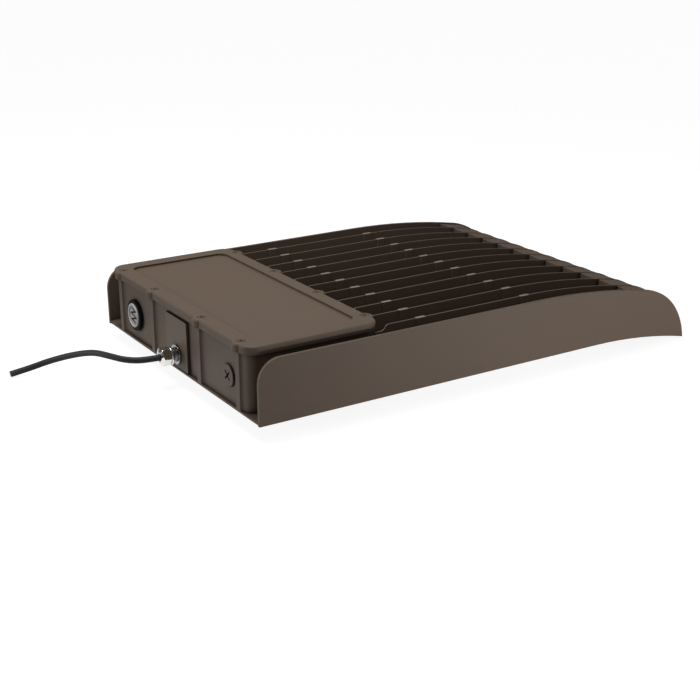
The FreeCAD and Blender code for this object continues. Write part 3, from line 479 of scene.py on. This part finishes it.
WEARS = {
    SINK_BRONZE: ["heat_sink"],
    BRONZE: ["driver_box", "conduit_plug", "lens_frame"],
    LID_BRONZE: ["lid"],
    ENTRY_BRONZE: ["entry_plate"],
    DARK_SCREW: ["lid_screws"],
    STEEL: ["box_screws", "frame_screws", "driver_screws", "terminal_screws"],
    BRASS: ["earth_screw"],
    NICKEL: ["gland_collar", "gland_body", "gland_locknut", "gland_nut"],
    NYLON: ["gland_ring"],
    BLACK_RUBBER: ["gland_seal", "entry_gasket", "photocell_seal", "plug_seal", "grommet_near",
                   "grommet_far"],
    GREY_RUBBER: ["lid_gasket", "lens_gasket_near", "lens_gasket_far"],
    HARNESS_RUBBER: ["harness_near", "harness_far"],
    BLACK_PLASTIC: ["photocell_body", "photocell_nut"],
    SENSOR: ["photocell_disc"],
    DRIVER_CASE: ["led_driver"],
    CREAM: ["terminal_block"],
    BOARD: ["led_board_near", "led_board_far"],
    CERAMIC: ["leds"],
    CLEAR: ["lens_near", "lens_far"],
}
for material, names in WEARS.items():
    for name in names:
        slots = nodes[name].data.materials
        slots.clear()
        slots.append(material)
cord.data.materials.append(CORD_RUBBER)
for name, lead in leads.items():
    lead.data.materials.append(EARTH_RUBBER if name == "earth_core" else CORE_RUBBER)
print("finishes:", len(bpy.data.materials))

# %% [markdown]
# The small turned and printed details are bmeshes, built where they belong and finished in one
# way: doubles merged, normals turned outwards, smooth shading with sharp edges kept.

# %% Helpers for small pieces


def finish_piece(name, sheet, material, body="housing", crease=35):
    bmesh.ops.remove_doubles(sheet, verts=sheet.verts[:], dist=0.002 * MM)
    bmesh.ops.recalc_face_normals(sheet, faces=sheet.faces[:])
    mesh = bpy.data.meshes.new(name)
    sheet.to_mesh(mesh)
    sheet.free()
    mesh.polygons.foreach_set("use_smooth", [True] * len(mesh.polygons))
    mesh.set_sharp_from_angle(angle=math.radians(crease))
    mesh.materials.append(material)
    piece = bpy.data.objects.new(name, mesh)
    scene.collection.objects.link(piece)
    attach(piece, body)
    print(name, len(mesh.polygons), "faces")
    return piece


def turned(profile, centre, closed=True, steps=72):
    """A profile of (x, radius) points turned a full circle about an axis along X."""
    sheet = bmesh.new()
    spots = [sheet.verts.new((x, centre.y, centre.z + radius)) for x, radius in profile]
    pairs = list(zip(spots, spots[1:]))
    if closed:
        pairs.append((spots[-1], spots[0]))
    edges = [sheet.edges.new(pair) for pair in pairs]
    bmesh.ops.spin(sheet, geom=spots + edges, cent=centre, axis=(1, 0, 0), angle=math.tau,
                   steps=steps, use_merge=True)
    return sheet


def middle(node):
    low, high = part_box(node)
    return (Vector(low) + Vector(high)) / 2


# %% [markdown]
# The dusk sensor has a pale moulded rim. In it lies the cell: a grey ceramic face with a dark
# light-sensitive track that zigzags between two electrodes. The rim is turned from a profile,
# and the track is a row of thin bars.

# %% Dusk sensor
CELL_WINDOW_R = 8.8 * MM
CELL_EDGE_R = 0.9 * MM
CELL_RIM_BACK = 0.7 * MM
CELL_FACE_DEPTH = 1.2 * MM
CELL_TRACK_W = 1.5 * MM
CELL_TRACK_T = 0.12 * MM
CELL_TRACK = [(3.2, 6.4), (-4.6, 4.4), (5.4, 1.5), (-5.4, -1.5), (4.6, -4.4), (-3.2, -6.4)]

cell_low, cell_high = (Vector(corner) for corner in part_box("photocell_lens"))
cell_axis = middle("photocell_lens")
cell_r = (cell_high.y - cell_low.y) / 2
cell_tip = cell_low.x
cell_rim_x = cell_tip + CELL_RIM_BACK
cell_face_x = cell_rim_x + CELL_FACE_DEPTH


def sensor_rim():
    """A ring whose outer and inner front edges are both round."""
    corner = [math.radians(15 * step) for step in range(7)]
    outer, inner = [], []
    for a in corner:
        across, along = CELL_EDGE_R * (1 - math.cos(a)), CELL_EDGE_R * (1 - math.sin(a))
        outer.append((cell_rim_x + across, cell_r - along))
        inner.append((cell_rim_x + along, CELL_WINDOW_R + across))
    profile = [(cell_high.x, CELL_WINDOW_R)] + inner[::-1] + outer + [(cell_high.x, cell_r)]
    return turned(profile, cell_axis)


def sensor_face():
    """The ceramic disc that fills the rim, a little behind its front."""
    front, back = cell_face_x, cell_high.x
    profile = [(front, 0.0), (front, CELL_WINDOW_R), (back, CELL_WINDOW_R), (back, 0.0)]
    return turned(profile, cell_axis)


def sensor_track():
    sheet = bmesh.new()
    spots = [Vector((cell_face_x, cell_axis.y + y * MM, cell_axis.z + z * MM)) for y, z in CELL_TRACK]
    for start, end in zip(spots, spots[1:]):
        run = end - start
        stretch = Matrix.Diagonal((2 * CELL_TRACK_T, run.length + CELL_TRACK_W, CELL_TRACK_W, 1))
        lay = Matrix.Rotation(math.atan2(run.z, run.y), 4, "X")
        place = Matrix.Translation((start + end) / 2)
        bmesh.ops.create_cube(sheet, size=1.0, matrix=place @ lay @ stretch)
    return sheet


rim = finish_piece("photocell_rim", sensor_rim(), RIM_PLASTIC)
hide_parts("photocell_lens")
face = finish_piece("photocell_face", sensor_face(), SENSOR)
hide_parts("photocell_disc")
finish_piece("photocell_track", sensor_track(), TRACK)

# %% [markdown]
# The gland's threads are real helices: one small triangle carried round the axis while it moves
# along it. Spin does both at once, because each of its steps may also shift.

# %% Gland threads
THREAD_PITCH = 0.75 * MM
THREAD_STEPS = 40
GLAND_NECK_R = 6.0 * MM
GLAND_NECK_LEN = 4.6 * MM
GLAND_SCREW_R = 5.2 * MM
THREAD_H = 0.22 * MM
THREAD_SUNK = 0.02 * MM


def thread(x0, x1, radius, height):
    centre = middle("gland_collar")
    length = x1 - x0 - THREAD_PITCH
    steps = round(THREAD_STEPS * length / THREAD_PITCH)
    sheet = bmesh.new()
    corners = ((0, -THREAD_SUNK), (0.5 * THREAD_PITCH, height), (0.96 * THREAD_PITCH, -THREAD_SUNK))
    spots = [sheet.verts.new((x0 + dx, centre.y, centre.z + radius + dr)) for dx, dr in corners]
    tooth = sheet.faces.new(spots)
    bmesh.ops.spin(sheet, geom=[tooth], cent=centre, axis=(1, 0, 0), dvec=(length / steps, 0, 0),
                   angle=math.tau * length / THREAD_PITCH, steps=steps)
    return sheet


collar_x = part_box("gland_collar")[0][0]
nut_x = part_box("gland_nut")[1][0]
flange_x = collar_x - GLAND_NECK_LEN
screw_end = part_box("gland_body")[0][0]
for name, x0, x1, radius in (
    ("gland_neck_thread", flange_x, collar_x, GLAND_NECK_R),
    ("gland_screw_thread", screw_end, nut_x, GLAND_SCREW_R),
):
    # Their darker nickel is painted shade in the grooves.
    finish_piece(name, thread(x0, x1, radius, THREAD_H), THREAD_SHADE_NICKEL)

# %% [markdown]
# Under the lenses each LED is a white ceramic package with a drop of yellow phosphor on it. The
# packages are CAD solids. Their middles are read from the mesh, as the loose parts that stay
# joined once its doubles are merged, and each gets a flattened ball.

# %% LED phosphor
DROP_R = 1.8 * MM
DROP_FLATNESS = 0.14


def loose_parts(sheet):
    """The vertices of a bmesh, sorted into the parts that are joined by edges."""
    waiting = set(sheet.verts)
    parts = []
    while waiting:
        part = [waiting.pop()]
        for vert in part:
            for edge in vert.link_edges:
                other = edge.other_vert(vert)
                if other in waiting:
                    waiting.remove(other)
                    part.append(other)
        parts.append(part)
    return parts


def phosphor_drops():
    packages = bmesh.new()
    packages.from_mesh(nodes["leds"].data)
    bmesh.ops.remove_doubles(packages, verts=packages.verts[:], dist=0.01 * MM)
    drops = bmesh.new()
    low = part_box("leds")[0][2]
    for part in loose_parts(packages):
        spot = sum((vert.co for vert in part), Vector()) / len(part)
        squash = Matrix.Diagonal((1, 1, DROP_FLATNESS, 1))
        bmesh.ops.create_uvsphere(drops, u_segments=20, v_segments=10, radius=DROP_R,
                                  matrix=Matrix.Translation((spot.x, spot.y, low)) @ squash)
    packages.free()
    return drops


finish_piece("led_phosphor", phosphor_drops(), PHOSPHOR)

# %% [markdown]
# The driver is a potted metal case. Moulded caps close its two ends, and its top carries a label,
# which stays blank. Both are cubes with bevelled edges, sized from the CAD solid's box.

# %% Driver caps and label
DRIVER_FOOT = 12.0 * MM
CAP_LEN = 9.0 * MM
CAP_PROUD = 0.4 * MM
CAP_CLEAR = 2.0 * MM
CAP_R = 1.2 * MM
LABEL_T = 0.15 * MM
LABEL_R = 0.12 * MM
LABEL_SIDE = 8.0 * MM
LABEL_END = 22.0 * MM


def soft_block(sheet, low, high, radius):
    """A block between two corners, with all its edges rounded."""
    size = Vector(high) - Vector(low)
    place = Matrix.Translation((Vector(low) + Vector(high)) / 2) @ Matrix.Diagonal((*size, 1))
    made = bmesh.ops.create_cube(sheet, size=1.0, matrix=place)
    edges = {edge for vert in made["verts"] for edge in vert.link_edges}
    bmesh.ops.bevel(sheet, geom=list(edges), offset=radius, offset_type="OFFSET", affect="EDGES",
                    segments=3, profile=0.5, material=-1)


driver_low, driver_high = (Vector(corner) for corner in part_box("led_driver"))
case_ends = (driver_low.y + DRIVER_FOOT, driver_high.y - DRIVER_FOOT)
caps = bmesh.new()
for start, end in (
    (case_ends[0] - CAP_PROUD, case_ends[0] + CAP_LEN),
    (case_ends[1] - CAP_LEN, case_ends[1] + CAP_PROUD),
):
    soft_block(caps, (driver_low.x - CAP_PROUD, start, driver_low.z + CAP_CLEAR),
               (driver_high.x + CAP_PROUD, end, driver_high.z + CAP_PROUD), CAP_R)
finish_piece("driver_end_caps", caps, BLACK_PLASTIC)
label = bmesh.new()
soft_block(label, (driver_low.x + LABEL_SIDE, case_ends[0] + LABEL_END, driver_high.z - LABEL_T),
           (driver_high.x - LABEL_SIDE, case_ends[1] - LABEL_END, driver_high.z + LABEL_T), LABEL_R)
finish_piece("driver_label", label, LABEL)

# %% [markdown]
# The cord's far end is cut square. Three insulated copper cores show in the cut.

# %% Cut end of the cord
CORE_CUT_R = 0.95 * MM
COPPER_R = 0.5 * MM
CORE_RING = 1.2 * MM


def cut_ends(radius, reach):
    """Three short round ends, set round the cord's axis at its cut."""
    end = Vector(CORD_ROUTE[-1])
    way = (end - Vector(CORD_ROUTE[-2])).normalized()
    turn = way.to_track_quat("Z", "Y").to_matrix().to_4x4()
    sheet = bmesh.new()
    for k in range(3):
        angle = math.tau * k / 3
        aside = Matrix.Translation((CORE_RING * math.cos(angle), CORE_RING * math.sin(angle), 0))
        bmesh.ops.create_cone(sheet, cap_ends=True, segments=24, radius1=radius, radius2=radius,
                              depth=2 * reach, matrix=Matrix.Translation(end) @ turn @ aside)
    return sheet


cord_cores = finish_piece("cord_core_ends", cut_ends(CORE_CUT_R, 0.15 * MM), CORE_CUT)
cord_copper = finish_piece("cord_copper_ends", cut_ends(COPPER_R, 0.3 * MM), COPPER)

# %% [markdown]
# The studio is a pale floor and a soft white surround. The floor shows white to the camera where
# nothing shades it, and it keeps a faint shadow. Its glow is seen but lights no plain surface,
# because only camera, transmission and glossy rays find it. Reflections see less of it on the far
# side, as if a black card lay there.

# %% Floor
FLOOR_TONE = 0.20
FLOOR_GLOW = 0.90
FLOOR_GAP = 0.5 * MM
FLOOR_HALF = 6.0
FAR_SIDE = (0.3, 0.03)
NEAR_SIDE = (0.05, 1.0)


def stage_floor():
    sheet = bmesh.new()
    bmesh.ops.create_grid(sheet, x_segments=1, y_segments=1, size=FLOOR_HALF)
    mesh = bpy.data.meshes.new("floor")
    sheet.to_mesh(mesh)
    sheet.free()
    floor = bpy.data.objects.new("floor", mesh)
    floor.location = (0, 0, -FLOOR_GAP)
    scene.collection.objects.link(floor)
    return floor


def floor_paint():
    material = bpy.data.materials.new("floor_paint")
    material.use_nodes = True
    tree = material.node_tree
    shader = tree.nodes["Principled BSDF"]
    shader.inputs["Base Color"].default_value = (FLOOR_TONE, FLOOR_TONE, FLOOR_TONE, 1)
    shader.inputs["Roughness"].default_value = 0.9
    shader.inputs["Emission Color"].default_value = (1, 1, 1, 1)
    path = tree.nodes.new("ShaderNodeLightPath").outputs
    place = tree.nodes.new("ShaderNodeSeparateXYZ")
    tree.links.new(tree.nodes.new("ShaderNodeTexCoord").outputs["Object"], place.inputs["Vector"])
    near_side = add_node(tree, "ShaderNodeMapRange", From_Min=FAR_SIDE[0], From_Max=NEAR_SIDE[0],
                         To_Min=FAR_SIDE[1], To_Max=NEAR_SIDE[1])
    tree.links.new(place.outputs["Y"], near_side.inputs["Value"])
    shiny = add_math(tree, "MULTIPLY", path["Is Glossy Ray"], near_side.outputs["Result"])
    seen = add_math(tree, "MAXIMUM", path["Is Camera Ray"], path["Is Transmission Ray"])
    seen = add_math(tree, "MAXIMUM", seen, shiny)
    glow = add_math(tree, "MULTIPLY", seen, FLOOR_GLOW)
    tree.links.new(glow, shader.inputs["Emission Strength"])
    return material


floor = stage_floor()
floor.data.materials.append(floor_paint())
print("floor:", 2 * FLOOR_HALF, "m square")

# %% [markdown]
# The surround is white to the camera only. Plain surfaces get a dim light from it that grows
# towards the sky overhead, and shiny ones see a soft band partway up with dark above and below.
# Four soft lamps do the rest. One hangs over the driver end, for the lid, and one stands off to
# the side of the end wall. Two low strips lift the near plate and the nose. The back strip stays
# out of reflections, because the nose would show it as a streak.

# %% Light
AMBIENT = (0.08, 0.50)
SKY_BANDS = ((0.0, 0.02), (0.35, 0.32), (0.7, 0.08))


def studio_surround():
    """White to the camera, brighter overhead for plain surfaces, banded for shiny ones."""
    world = bpy.data.worlds.new("studio")
    world.use_nodes = True
    tree = world.node_tree
    surround = tree.nodes["Background"]
    surround.inputs["Color"].default_value = (1, 1, 1, 1)
    path = tree.nodes.new("ShaderNodeLightPath").outputs
    way = tree.nodes.new("ShaderNodeTexCoord").outputs["Generated"]
    parts = tree.nodes.new("ShaderNodeSeparateXYZ")
    tree.links.new(way, parts.inputs["Vector"])
    sky = tree.nodes.new("ShaderNodeValToRGB")
    bands = sky.color_ramp.elements
    bands.new(SKY_BANDS[1][0])
    for band, (height, level) in zip(bands, SKY_BANDS):
        band.position = height
        band.color = (level, level, level, 1)
    tree.links.new(parts.outputs["Z"], sky.inputs["Fac"])
    shiny = add_math(tree, "MULTIPLY", sky.outputs["Color"], path["Is Glossy Ray"])
    seen = add_math(tree, "MAXIMUM", path["Is Camera Ray"], path["Is Transmission Ray"])
    level = add_math(tree, "MAXIMUM", shiny, seen)
    overhead = add_node(tree, "ShaderNodeMapRange", To_Min=AMBIENT[0], To_Max=AMBIENT[1])
    tree.links.new(parts.outputs["Z"], overhead.inputs["Value"])
    plain = add_math(tree, "MULTIPLY", path["Is Diffuse Ray"], overhead.outputs["Result"])
    level = add_math(tree, "MAXIMUM", level, plain)
    tree.links.new(level, surround.inputs["Strength"])
    return world


scene.world = studio_surround()


def soft_lamp(name, place, target, size, power):
    """An area lamp of a width and a height that looks from its place to its target."""
    data = bpy.data.lights.new(name, "AREA")
    data.shape = "RECTANGLE"
    data.size, data.size_y = size
    data.energy = power
    lamp = bpy.data.objects.new(name, data)
    lamp.location = place
    lamp.visible_camera = False
    lamp.rotation_euler = (Vector(target) - Vector(place)).to_track_quat("-Z", "Y").to_euler()
    scene.collection.objects.link(lamp)
    return lamp


soft_lamp("top_softbox", (-0.03, 0.05, 0.75), (0.0, 0.05, 0.05), (0.35, 0.35), 4.1)
soft_lamp("floor_strip", (0.35, -0.55, 0.02), (0.35, -0.15, 0.02), (0.5, 0.03), 1.2)
back_strip = soft_lamp("back_strip", (0.75, 0.6, 0.03), (0.3, 0.1, 0.03), (0.5, 0.03), 1.6)
back_strip.visible_glossy = False
soft_lamp("end_softbox", (-1.0, 0.65, 0.25), (-0.06, -0.02, 0.03), (0.3, 0.3), 4.3)
scene.view_settings.view_transform = "Standard"
print("lamps:", len(bpy.data.lights))

# %% Update the scene
bpy.context.view_layer.update()
